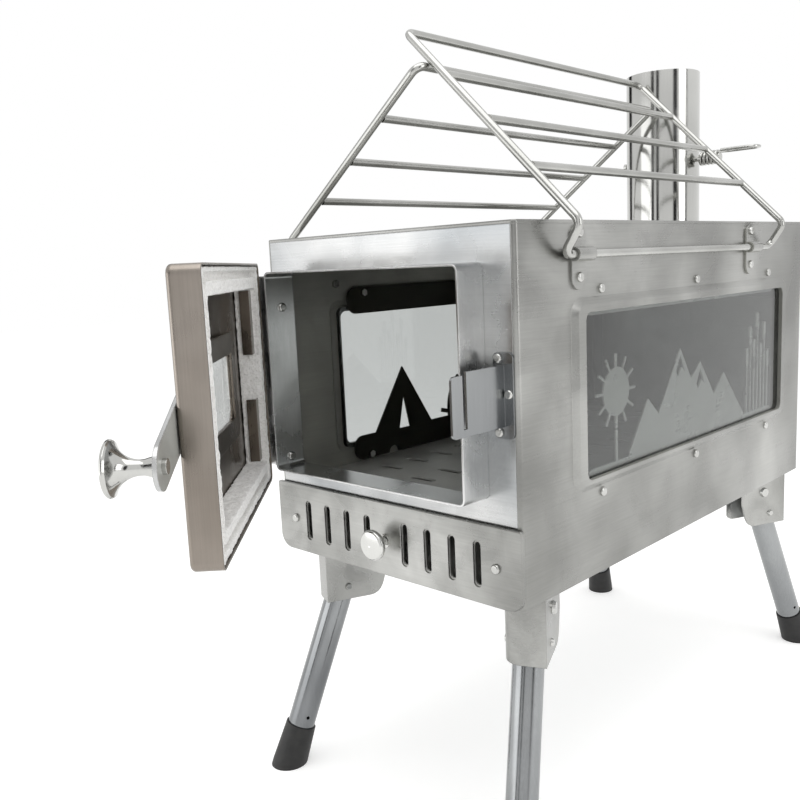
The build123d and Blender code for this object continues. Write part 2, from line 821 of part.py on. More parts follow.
knob_plane = lever_plane.offset(lever_sheet)
knob_origin = knob_plane.from_local_coords((lever_length, 0, 0))
knob_profile_plane = Plane(knob_origin, x_dir=knob_plane.x_dir, z_dir=-knob_plane.y_dir)
with BuildPart() as latch_knob:
    with BuildSketch(knob_profile_plane):
        with BuildLine():
            neck = (knob_neck_radius, knob_length / 4)
            flare = (knob_radius - 0.6, knob_length - 3.2)
            rim = (knob_radius, knob_length - 2.4)
            lip = (knob_radius - 1.2, knob_length - 0.7)
            Polyline((0, knob_length), (0, 0), (knob_foot_radius, 0), (knob_foot_radius, 1.2))
            Line((knob_foot_radius, 1.2), neck)
            ThreePointArc(neck, (0.42 * knob_radius, 0.61 * knob_length), flare)
            Line(flare, rim)
            ThreePointArc(rim, (knob_radius - 0.3, knob_length - 1.3), lip)
            ThreePointArc(lip, crown_middle(lip[0], knob_length, 0.7), (0, knob_length))
        make_face()
    revolve(axis=Axis(knob_origin, knob_plane.z_dir))
opened(latch_knob.part, "latch_knob")

with BuildPart() as knob_screw:
    with BuildSketch(lever_plane.offset(lever_sheet)):
        with Locations((lever_length, 0)):
            Circle(screw_radius)
    extrude(amount=-lever_sheet)
    with BuildSketch(lever_plane):
        with Locations((lever_length, 0)):
            Circle(knob_screw_radius)
    extrude(amount=-(lever_gap - fit_gap / 2 + knob_screw_height))
opened(knob_screw.part, "latch_knob_screw")

with BuildPart() as lever_pivot_screw:
    with BuildSketch(lever_plane.offset(lever_sheet + lever_play)):
        Circle(pivot_head_radius)
    extrude(amount=pivot_head_height)
    fillet(lever_pivot_screw.faces().sort_by(Axis.Y)[0].edges(), pivot_head_round)
    with BuildSketch(lever_plane.offset(lever_sheet + lever_play)):
        Circle(screw_radius)
    extrude(amount=-(lever_sheet + lever_gap + lever_play + sheet))
    with BuildSketch(lever_plane.offset(-lever_gap - sheet)):
        RegularPolygon(nut_radius, 6)
    extrude(amount=-nut_height)
    with BuildSketch(lever_plane.offset(-lever_gap)):
        Circle(lever_spacer_radius)
        Circle(screw_radius, mode=Mode.SUBTRACT)
    extrude(amount=lever_gap - lever_play / 2)
opened(lever_pivot_screw.part, "lever_pivot_screw")

# Keeper on the front panel, with an open-topped slot for the lever
keeper_x = door_half + keeper_gap
keeper_top = top_z - keeper_drop
lever_mid = door_standoff + door_depth + lever_gap + lever_sheet / 2
slot_half = lever_sheet / 2 + keeper_slot_clearance
keeper_plane = Plane.YZ.offset(keeper_x)
with BuildPart() as keeper:
    with BuildSketch(keeper_plane):
        with Locations((-half_length - keeper_reach / 2, keeper_top - keeper_height / 2)):
            Rectangle(keeper_reach, keeper_height)
        with Locations((-half_length - keeper_reach, keeper_top)):
            Rectangle(2 * (keeper_reach - lever_mid), 2 * keeper_prong_drop, mode=Mode.SUBTRACT)
        fillet(vertices().group_by(Axis.X)[0], keeper_corner_radius)
        with Locations((-half_length - lever_mid, keeper_top - keeper_slot_depth / 2)):
            Rectangle(2 * slot_half, keeper_slot_depth + 0.01, mode=Mode.SUBTRACT)
    extrude(amount=keeper_sheet)
    with BuildSketch(Plane.XZ.offset(half_length)):
        with Locations((keeper_x + keeper_sheet / 2, keeper_top - keeper_height / 2)):
            RectangleRounded(keeper_foot_width, keeper_foot_height, 3)
    extrude(amount=keeper_sheet)
save(keeper.part, "latch_keeper")

keeper_mid_z = keeper_top - keeper_height / 2
keeper_rivet_y = -half_length - keeper_sheet
keeper_rivet_right_x = keeper_x + keeper_sheet / 2 + keeper_rivet_out
keeper_rivet_left_x = keeper_x + keeper_sheet / 2 - keeper_rivet_in
keeper_rivet_places = [
    (keeper_rivet_right_x, keeper_rivet_y, keeper_mid_z + keeper_rivet_lift),
    (keeper_rivet_left_x, keeper_rivet_y, keeper_top + keeper_rivet_rise),
    (keeper_rivet_left_x, keeper_rivet_y, keeper_top - keeper_height - keeper_rivet_rise),
]
with BuildPart() as keeper_rivets:
    for place in keeper_rivet_places:
        with BuildSketch(Plane(place, z_dir=(0, -1, 0))):
            Circle(keeper_rivet_radius)
        extrude(amount=keeper_rivet_height)
    fillet(keeper_rivets.faces().group_by(Axis.Y)[0].edges(), keeper_rivet_round)
save(keeper_rivets.part, "keeper_rivets")

# Ash drawer: tray, slotted front, knob and screws
drawer_front_top = sill_z - drawer_gap
drawer_front_z = (drawer_front_top + bottom_z - drawer_overlap) / 2
drawer_front_height = drawer_front_top - bottom_z + drawer_overlap
drawer_front_half = half_width + drawer_front_overhang
drawer_screw_x = drawer_front_half - drawer_screw_inset
drawer_back_face_y = -half_length - fit_gap
drawer_front_depth = drawer_front_proud - fit_gap
slot_steps = [air_slot_start + i * air_slot_pitch for i in range(air_slots_per_side)]
slot_xs = [side * step for side in (-1, 1) for step in slot_steps]
slot_z = drawer_front_z - slot_drop
drawer_floor_z = bottom_z + sheet + fit_gap
tray_half = inner_half - drawer_side_gap
with BuildPart() as drawer_front:
    with BuildSketch(Plane.XZ.offset(-drawer_back_face_y)):
        with Locations((0, drawer_front_z)):
            Rectangle(2 * drawer_front_half, drawer_front_height)
        fillet(vertices().group_by(Axis.Y)[0], drawer_front_radius)
        fillet(vertices().group_by(Axis.Y)[-1], drawer_corner_round)
    extrude(amount=drawer_front_depth)
    fillet(drawer_front.faces().sort_by(Axis.Y)[0].outer_wire().edges(), drawer_edge_round)
    with BuildSketch(Plane.XZ.offset(-drawer_back_face_y)):
        with Locations((0, drawer_front_z)):
            Rectangle(2 * drawer_front_half - 2 * sheet, drawer_front_height - 2 * sheet)
        fillet(vertices().group_by(Axis.Y)[0], drawer_front_radius - sheet)
    extrude(amount=drawer_front_depth - sheet, mode=Mode.SUBTRACT)
    with BuildSketch(Plane.XZ.offset(-drawer_back_face_y)):
        with Locations(*[(x, slot_z) for x in slot_xs]):
            SlotOverall(air_slot_height, air_slot_width, rotation=90)
        with Locations((drawer_screw_x, slot_z), (-drawer_screw_x, slot_z), (0, slot_z)):
            Circle(screw_radius + seat)
    extrude(amount=drawer_front_depth + 1, mode=Mode.SUBTRACT)
save(drawer_front.part, "drawer_front")

drawer_plate_y = drawer_back_face_y - drawer_front_depth + sheet
with BuildPart() as ash_tray:
    with BuildSketch(Plane.XY.offset(drawer_floor_z)):
        with Locations((0, drawer_plate_y + drawer_tray_length / 2)):
            Rectangle(2 * tray_half, drawer_tray_length)
    extrude(amount=drawer_tray_height)
    with BuildSketch(Plane.XY.offset(drawer_floor_z + sheet)):
        with Locations((0, drawer_plate_y + drawer_tray_length / 2 - sheet)):
            Rectangle(2 * tray_half - 2 * sheet, drawer_tray_length)
    extrude(amount=drawer_tray_height, mode=Mode.SUBTRACT)
save(ash_tray.part, "ash_tray")

tray_wall_height = drawer_tray_height - sheet
with BuildPart() as ash_tray_front:
    with BuildSketch(Plane.XZ.offset(-drawer_plate_y)):
        with Locations((0, drawer_floor_z + sheet + tray_wall_height / 2)):
            Rectangle(2 * tray_half - 2 * sheet, tray_wall_height)
        with Locations(*[(x, slot_z) for x in slot_xs]):
            SlotOverall(air_slot_height - 2, air_slot_width, rotation=90, mode=Mode.SUBTRACT)
        with Locations((drawer_screw_x, slot_z), (-drawer_screw_x, slot_z), (0, slot_z)):
            Circle(screw_radius + seat, mode=Mode.SUBTRACT)
    extrude(amount=-sheet)
save(ash_tray_front.part, "ash_tray_front")

drawer_face_y = -half_length - drawer_front_proud
drawer_screw_places = [(side * drawer_screw_x, drawer_face_y, slot_z) for side in (-1, 1)]
screw_group("drawer_screws", drawer_screw_places, lambda place: (0, -1, 0), 2 * sheet)

with BuildPart() as drawer_knob:
    with BuildSketch(Plane((0, drawer_face_y, slot_z), x_dir=(1, 0, 0), z_dir=(0, 0, 1))):
        with BuildLine():
            rear = (drawer_knob_radius - 1.2, -drawer_knob_length + drawer_knob_head)
            edge = (drawer_knob_radius, -drawer_knob_length + drawer_knob_head / 2)
            crown = (drawer_knob_radius - 1.2, -drawer_knob_length + 0.8)
            foot = drawer_knob_foot_radius
            neck = drawer_knob_neck_radius
            Polyline((0, -drawer_knob_length), (0, 0), (foot, 0), (foot, -1.4), (neck, -2.2), (neck, -6.0))
            ThreePointArc((neck, -6.0), (neck + 2.0, -7.6), rear)
            ThreePointArc(rear, edge, crown)
            ThreePointArc(crown, crown_middle(crown[0], -drawer_knob_length, -0.8), (0, -drawer_knob_length))
        make_face()
    revolve(axis=Axis((0, 0, slot_z), (0, 1, 0)))
    with BuildSketch(Plane.XZ.offset(-drawer_face_y)):
        with Locations((0, slot_z)):
            Circle(screw_radius)
    extrude(amount=-2 * sheet)
save(drawer_knob.part, "drawer_knob")

# Brackets for the racks: a screwed plate with a knuckle round the rack's rod
rack_pivot_x = half_width + rack_pivot_out
rack_pivot_z = top_z - rack_pivot_drop
rack_plate_z = top_z - rack_plate_drop - rack_plate_height / 2
rack_bore = wire_radius + leg_running_gap
with BuildPart() as rack_brackets:
    for side in (-1, 1):
        for y in knuckle_y:
            with BuildSketch(Plane.YZ.offset(side * half_width)):
                with Locations((y, rack_plate_z)):
                    RectangleRounded(rack_plate_width, rack_plate_height, rack_plate_width / 2 - 0.1)
                with Locations(*[(y, z) for z in rack_screw_z]):
                    Circle(screw_radius + seat, mode=Mode.SUBTRACT)
            extrude(amount=side * keeper_sheet)
            with BuildSketch(Plane.XZ.offset(-y - knuckle_length / 2)):
                with Locations((side * (half_width + rack_pivot_out / 2), rack_pivot_z)):
                    Rectangle(rack_pivot_out, rack_knuckle_radius)
                with Locations((side * rack_pivot_x, rack_pivot_z)):
                    Circle(rack_knuckle_radius)
                    Circle(rack_bore, mode=Mode.SUBTRACT)
            extrude(amount=knuckle_length)
save(rack_brackets.part, "rack_brackets")

rack_screw_face = half_width + keeper_sheet
rack_screw_places = [
    (side * rack_screw_face, y, z) for side in (-1, 1) for y in knuckle_y for z in rack_screw_z
]
screw_group("rack_screws", rack_screw_places, outward, keeper_sheet + sheet)

# Racks: a bent loop of wire with cross bars, hinged at the casing's top edge
rack_front_y = -half_length + rack_front_inset
crank_length = sqrt(rack_crank_out**2 + rack_crank_rise**2)
crank_angle = degrees(atan2(rack_crank_rise, rack_crank_out))


def from_pivot(side, along, angle):
    """A point in the X and Z plane at a distance and an angle from a rack's pivot."""
    return (side * (rack_pivot_x + along * cos(radians(angle))), rack_pivot_z + along * sin(radians(angle)))


def rack_points(side, arm, lean, pitch):
    """Bend, tip and bar centres of a rack, whose arm leans inward at the given angle from level."""
    swing = rack_right_angle - lean
    bend_x, bend_z = from_pivot(side, crank_length, crank_angle + swing)
    run = (-side * cos(radians(lean)), sin(radians(lean)))
    tip = (bend_x + arm * run[0], bend_z + arm * run[1])
    bars = []
    for i in range(rack_bars):
        back = rack_bar_first + i * pitch
        bars.append((tip[0] - back * run[0], tip[1] - back * run[1]))
    return (bend_x, bend_z), tip, bars


def rack(side_name, side, arm, lean, shift, pitch):
    """Writes one rack: its closed wire loop, and the cross bars welded between its arms."""
    bend, tip, bars = rack_points(side, arm, lean, pitch)
    front = rack_front_y + shift
    rear = front + rack_span
    pivot_x = side * rack_pivot_x
    with BuildPart() as frame:
        with BuildLine() as loop:
            FilletPolyline(
                (pivot_x, front, rack_pivot_z),
                (bend[0], front, bend[1]),
                (tip[0], front, tip[1]),
                (tip[0], rear, tip[1]),
                (bend[0], rear, bend[1]),
                (pivot_x, rear, rack_pivot_z),
                radius=rack_bend_radius,
                close=True,
            )
        path = loop.wire()
        with BuildSketch(Plane(path @ 0, z_dir=path % 0)):
            Circle(wire_radius)
        sweep(path=path)
    save(frame.part, f"rack_frame_{side_name}")
    with BuildPart() as rods:
        with BuildSketch(Plane.XZ.offset(-rear + wire_radius + seat)):
            with Locations(*bars):
                Circle(wire_radius)
        extrude(amount=rack_span - 2 * wire_radius - 2 * seat)
    save(rods.part, f"rack_bars_{side_name}")


def left_rest():
    """Arm and lean of the left rack, whose tip rod lies under the right rack's arms."""
    slope = radians(rack_right_angle)
    tip_x, tip_z = rack_points(1, rack_arm, rack_right_angle, rack_bar_pitch)[1]
    under = 2 * wire_radius + rack_rest_gap
    reach_x = tip_x + rack_seat_back * cos(slope) - under * sin(slope) + rack_pivot_x
    reach_z = tip_z - rack_seat_back * sin(slope) - under * cos(slope) - rack_pivot_z
    crank_along = rack_crank_rise * sin(slope) - rack_crank_out * cos(slope)
    arm = sqrt(crank_along**2 + reach_x**2 + reach_z**2 - crank_length**2) - crank_along
    level_angle = atan2(
        rack_crank_rise + arm * sin(slope),
        arm * cos(slope) - rack_crank_out,
    )
    return arm, rack_right_angle - degrees(level_angle - atan2(reach_z, reach_x))


rack_left_arm, rack_left_angle = left_rest()
print("left rack's arm", round(rack_left_arm, 3), "mm, leans", round(rack_left_angle, 3), "degrees")
rack("right", 1, rack_arm, rack_right_angle, 0, rack_bar_pitch)
rack("left", -1, rack_left_arm, rack_left_angle, rack_left_shift, rack_left_bar_pitch)

# Legs: brackets under the floor, pins, detents, tubes and rubber feet
leg_pivot_z = bottom_z - leg_pivot_drop
leg_pivot_y = half_length - leg_pivot_inset
leg_reach = leg_pivot_z / cos(radians(leg_tilt))
bracket_half = bracket_inner / 2 + bracket_sheet
bracket_low_z = bottom_z - bracket_height
corners = {"front_right": (1, -1), "front_left": (-1, -1), "rear_right": (1, 1), "rear_left": (-1, 1)}


def outward_of(sx, sy):
    """The level direction in which a leg leans outward."""
    return Vector(sx * cos(radians(leg_azimuth)), sy * sin(radians(leg_azimuth)), 0)


def leg_frame(sx, sy):
    """Plane at a leg's pivot with its normal down along the tube and its Y along the pivot pin."""
    out = outward_of(sx, sy)
    down = out * sin(radians(leg_tilt)) - Vector(0, 0, 1) * cos(radians(leg_tilt))
    across = Vector(-out.Y, out.X, 0)
    pivot = Vector(sx * leg_pivot_x, sy * leg_pivot_y, leg_pivot_z)
    return Plane(pivot, x_dir=across.cross(down), z_dir=down)


def pin_plane(sx, sy, along=0.0):
    """Plane on the leg's centre line, square to the pivot pin, at a distance below the pivot."""
    frame = leg_frame(sx, sy)
    return Plane(frame.origin + frame.z_dir * along, x_dir=frame.x_dir, z_dir=frame.y_dir)


with BuildPart() as leg_brackets:
    for sx, sy in corners.values():
        out = outward_of(sx, sy)
        pivot = Vector(sx * leg_pivot_x, sy * leg_pivot_y, 0)
        base = Plane(pivot + Vector(0, 0, bracket_low_z), x_dir=out, z_dir=(0, 0, 1))
        with BuildSketch(base):
            with Locations(((bracket_nose - bracket_tail) / 2, 0)):
                Rectangle(bracket_nose + bracket_tail, 2 * bracket_half)
            fillet(vertices().sort_by(Axis(base.origin, out))[-2:], bracket_nose_radius)
        extrude(amount=bracket_height)
        with BuildSketch(base):
            with Locations(((bracket_nose - bracket_sheet - bracket_tail - 2) / 2, 0)):
                Rectangle(bracket_nose - bracket_sheet + bracket_tail + 2, bracket_inner)
            fillet(vertices().sort_by(Axis(base.origin, out))[-2:], bracket_nose_radius - bracket_sheet)
        extrude(amount=bracket_height, mode=Mode.SUBTRACT)
        cheek = Plane(pivot + Vector(0, 0, bracket_low_z), x_dir=out, z_dir=out.cross(Vector(0, 0, 1)))
        with BuildSketch(cheek.offset(-bracket_half - 1)):
            with BuildLine():
                Line((-bracket_tail - 1, bracket_tail_rise), (-bracket_tail - 1, -1))
                Line((-bracket_tail - 1, -1), (bracket_tail_radius - bracket_tail, -1))
                Line((bracket_tail_radius - bracket_tail, -1), (bracket_tail_radius - bracket_tail, 0))
                Spline(
                    (bracket_tail_radius - bracket_tail, 0),
                    (-bracket_tail - 1, bracket_tail_rise),
                    tangents=[(-1, 0), (-0.5, 1)],
                )
            make_face()
        extrude(amount=2 * bracket_half + 2, mode=Mode.SUBTRACT)
        with BuildSketch(pin_plane(sx, sy)):
            Circle(leg_pin_radius + seat)
        extrude(amount=bracket_half + 1, both=True, mode=Mode.SUBTRACT)
        with BuildSketch(pin_plane(sx, sy, button_drop)):
            Circle(button_radius - 1 + seat)
        extrude(amount=bracket_half + 1, both=True, mode=Mode.SUBTRACT)
save(leg_brackets.part, "leg_brackets")

leg_clear = leg_radius + fit_gap
with BuildPart() as leg_pins:
    for sx, sy in corners.values():
        middle = pin_plane(sx, sy)
        with BuildSketch(middle):
            Circle(leg_pin_radius)
        extrude(amount=bracket_half, both=True)
        for turn in (1, -1):
            side_plane = Plane(middle.origin, x_dir=middle.x_dir, z_dir=middle.z_dir * turn)
            with BuildSketch(side_plane.offset(leg_clear)):
                Circle(leg_shoulder_radius)
            extrude(amount=bracket_inner / 2 - leg_clear)
            with BuildSketch(side_plane.offset(bracket_half)):
                Circle(leg_pin_head_radius)
            extrude(amount=leg_pin_head_height, taper=head_taper)
save(leg_pins.part, "leg_pins")

with BuildPart() as leg_detents:
    for sx, sy in corners.values():
        middle = pin_plane(sx, sy, button_drop)
        for turn in (1, -1):
            side_plane = Plane(middle.origin, x_dir=middle.x_dir, z_dir=middle.z_dir * turn)
            with BuildSketch(side_plane.offset(leg_clear)):
                Circle(button_radius - 1)
            extrude(amount=bracket_half - leg_clear)
            with BuildSketch(side_plane.offset(bracket_half)):
                Circle(button_radius)
            extrude(amount=button_height, taper=head_taper)
save(leg_detents.part, "leg_detents")

foot_start = leg_reach - foot_length
tube_end = leg_reach - foot_sole_thickness
for corner, (sx, sy) in corners.items():
    frame = leg_frame(sx, sy)
    with BuildPart() as leg_tube:
        with BuildSketch(frame.offset(-leg_head)):
            Circle(leg_radius)
            Circle(leg_radius - leg_wall, mode=Mode.SUBTRACT)
        extrude(amount=tube_end + leg_head)
        with BuildSketch(pin_plane(sx, sy)):
            Circle(leg_pin_radius + leg_running_gap)
        extrude(amount=bracket_half, both=True, mode=Mode.SUBTRACT)
        with BuildSketch(pin_plane(sx, sy, foot_start - leg_hole_rise)):
            Circle(leg_hole_radius)
        extrude(amount=bracket_half, both=True, mode=Mode.SUBTRACT)
    save(leg_tube.part, f"leg_tube_{corner}")
    with BuildPart() as leg_foot:
        with BuildSketch(frame.offset(foot_start)) as foot_top:
            Circle(foot_top_radius)
        with BuildSketch(frame.offset(leg_reach)) as foot_sole:
            Circle(foot_sole_radius)
        loft()
        with BuildSketch(frame.offset(leg_reach)):
            Circle(foot_sole_radius)
        extrude(amount=foot_sole_radius * tan(radians(leg_tilt)) + 1)
        with BuildSketch(frame.offset(foot_start)):
            Circle(leg_radius + seat)
        extrude(amount=tube_end - foot_start + seat, mode=Mode.SUBTRACT)
        split(bisect_by=Plane.XY, keep=Keep.TOP)
    save(leg_foot.part, f"leg_foot_{corner}")

# Flue: spigot on the cooktop, pipe, and a damper disc on its shaft
spigot_radius = flue_radius - flue_wall - fit_gap
with BuildPart() as flue_spigot:
    with BuildSketch(Plane.XY.offset(wall_top_z)):
        with Locations((0, flue_y)):
            Circle(spigot_radius)
            Circle(spigot_radius - flue_wall, mode=Mode.SUBTRACT)
    extrude(amount=top_sheet + spigot_height)
    with BuildSketch(Plane.XY.offset(wall_top_z - seat)):
        with Locations((0, flue_y)):
            Circle(flue_radius + spigot_flange)
            Circle(spigot_radius - flue_wall, mode=Mode.SUBTRACT)
    extrude(amount=-sheet)
    with BuildSketch(Plane.XY.offset(wall_top_z - seat)):
        with Locations((0, flue_y)):
            Circle(spigot_radius)
            Circle(spigot_radius - flue_wall, mode=Mode.SUBTRACT)
    extrude(amount=2 * seat)
save(flue_spigot.part, "flue_spigot")

flue_bottom_z = wall_top_z
damper_z = top_z + damper_height
with BuildPart() as flue_pipe:
    with BuildSketch(Plane.XY.offset(flue_bottom_z)):
        with Locations((0, flue_y)):
            Circle(flue_radius)
            Circle(flue_radius - flue_wall, mode=Mode.SUBTRACT)
    extrude(amount=flue_height)
    with BuildSketch(Plane.YZ):
        with Locations((flue_y, damper_z)):
            Circle(damper_shaft_radius + leg_running_gap)
    extrude(amount=flue_radius + 1, both=True, mode=Mode.SUBTRACT)
save(flue_pipe.part, "flue_pipe")

with BuildPart() as damper_plate:
    with BuildSketch(Plane.XY.offset(damper_z + damper_shaft_radius + seat)):
        with Locations((0, flue_y)):
            Circle(flue_radius - flue_wall - damper_plate_gap)
    extrude(amount=damper_sheet)
save(damper_plate.part, "damper_plate")

handle_start_x = flue_radius + handle_start_gap
handle_coil_length = handle_coil_pitch * handle_coil_turns
hub_radius = handle_coil_radius - handle_wire_radius - seat
shaft_far_x = flue_radius + shaft_far_gap
with BuildPart() as damper_shaft:
    with BuildSketch(Plane.YZ.offset(-shaft_far_x)):
        with Locations((flue_y, damper_z)):
            Circle(damper_shaft_radius)
    extrude(amount=shaft_far_x + handle_start_x - 2)
    with BuildSketch(Plane.YZ.offset(-shaft_far_x)):
        with Locations((flue_y, damper_z)):
            Circle(damper_shaft_radius + shaft_collar_extra)
    extrude(amount=shaft_collar_width)
    with BuildSketch(Plane.YZ.offset(handle_start_x - 2)):
        with Locations((flue_y, damper_z)):
            Circle(hub_radius)
    extrude(amount=handle_coil_length + 3)
save(damper_shaft.part, "damper_shaft")


def coil_point(turns):
    """A point on the handle's coil and the wire's direction there, after some turns from below."""
    angle = 2 * pi * turns + pi
    rise = handle_coil_pitch / (2 * pi)
    place = Vector(
        handle_start_x + handle_coil_pitch * turns,
        flue_y + handle_coil_radius * sin(angle),
        damper_z + handle_coil_radius * cos(angle),
    )
    way = Vector(rise, handle_coil_radius * cos(angle), -handle_coil_radius * sin(angle))
    return place, way.normalized()


def biarc(start, start_way, end, end_way):
    """Two arcs that join two points with the given directions; drawn in the open line context."""
    across = end - start
    both = start_way + end_way
    a = both.dot(both) - 4
    b = -2 * across.dot(both)
    c = across.dot(across)
    arm = (-b - sqrt(b * b - 4 * a * c)) / (2 * a)
    first = start + start_way * arm
    last = end - end_way * arm
    joint = (first + last) / 2
    TangentArc(start, joint, tangent=start_way)
    TangentArc(joint, end, tangent=(last - first).normalized())


coil_ends = handle_coil_turns - 0.5
with BuildPart() as damper_handle:
    with BuildLine() as handle_line:
        begin, begin_way = coil_point(0)
        lead = begin - begin_way * (2 * handle_wire_radius)
        Line(lead, begin)
        for quarter in range(round(coil_ends * 4)):
            biarc(*coil_point(quarter / 4), *coil_point((quarter + 1) / 4))
        finish, finish_way = coil_point(coil_ends)
        lean = (pi / 2 - atan2(finish_way.X, finish_way.Y)) / 2
        turned_x = finish.X + handle_loop_half / tan(lean)
        side_y = handle_loop_half
        level = finish.Z
        TangentArc(finish, (turned_x, flue_y + side_y, level), tangent=finish_way)
        loop_end_x = turned_x + handle_loop_length - handle_loop_half
        Line((turned_x, flue_y + side_y, level), (loop_end_x, flue_y + side_y, level))
        ThreePointArc(
            (loop_end_x, flue_y + side_y, level),
            (loop_end_x + handle_loop_half, flue_y, level),
            (loop_end_x, flue_y - side_y, level),
        )
        Line((loop_end_x, flue_y - side_y, level), (turned_x - 2, flue_y - side_y, level))
    with BuildSketch(Plane(lead, z_dir=begin_way)):
        Circle(handle_wire_radius)
    sweep(path=handle_line.wire())
save(damper_handle.part, "damper_handle")

turn_gap = handle_coil_pitch * cos(atan2(handle_coil_pitch, 2 * pi * handle_coil_radius))
print("least gap between the handle's turns", round(turn_gap - 2 * handle_wire_radius, 3), "mm")
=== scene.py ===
import math

import bpy
import numpy as np
from mathutils import Matrix, Vector

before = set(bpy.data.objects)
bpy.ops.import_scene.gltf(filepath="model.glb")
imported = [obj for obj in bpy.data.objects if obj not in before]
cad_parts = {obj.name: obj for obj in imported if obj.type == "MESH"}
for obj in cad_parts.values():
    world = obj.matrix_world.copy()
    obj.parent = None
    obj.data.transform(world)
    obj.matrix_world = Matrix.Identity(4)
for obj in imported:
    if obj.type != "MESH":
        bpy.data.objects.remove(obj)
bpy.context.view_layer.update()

mm = 0.001


def hexColour(text):
    # sRGB hex to the linear colour that a shader socket takes
    parts = [int(text[i:i + 2], 16) / 255 for i in (1, 3, 5)]
    return [c / 12.92 if c <= 0.04045 else ((c + 0.055) / 1.055) ** 2.4 for c in parts] + [1.0]


def addNode(tree, kind, settings=None, **links):
    # adds one node: settings by attribute or by socket, links by socket; a link by number is i and the number
    node = tree.nodes.new(kind)
    for key, value in (settings or {}).items():
        if isinstance(key, int) or key in node.inputs:
            node.inputs[key].default_value = value
        else:
            setattr(node, key, value)
    for key, source in links.items():
        numbered = key[0] == "i" and key[1:].isdigit()
        slot = int(key[1:]) if numbered else key.replace("_", " ")
        tree.links.new(source, node.inputs[slot])
    return node


def newMaterial(name):
    material = bpy.data.materials.new(name)
    material.use_nodes = True
    tree = material.node_tree
    tree.nodes.clear()
    return material, tree


def objectPlace(tree):
    return addNode(tree, "ShaderNodeTexCoord").outputs["Object"]


def finishMaterial(tree, shader):
    addNode(tree, "ShaderNodeOutputMaterial", Surface=shader.outputs[0])


def setRamp(node, stops):
    # two stops, which is what a new ramp has
    ramp = node.color_ramp
    for element, (position, colour) in zip(ramp.elements, stops):
        element.position = position
        element.color = hexColour(colour)


def insideMask(tree, look):
    # 1 on faces that look at the firebox's middle, 0 on those that look away from it
    coords = addNode(tree, "ShaderNodeTexCoord")
    middle = [v * mm for v in look["middle"]]
    away = addNode(tree, "ShaderNodeVectorMath", {"operation": "SUBTRACT", 1: middle},
                   i0=coords.outputs["Object"])
    facing = addNode(tree, "ShaderNodeVectorMath", {"operation": "DOT_PRODUCT"}, i0=away.outputs[0],
                     i1=coords.outputs["Normal"])
    inward = {"operation": "LESS_THAN", 1: -look["inwardMm"] * mm}
    return addNode(tree, "ShaderNodeMath", inward, i0=facing.outputs["Value"]).outputs[0]


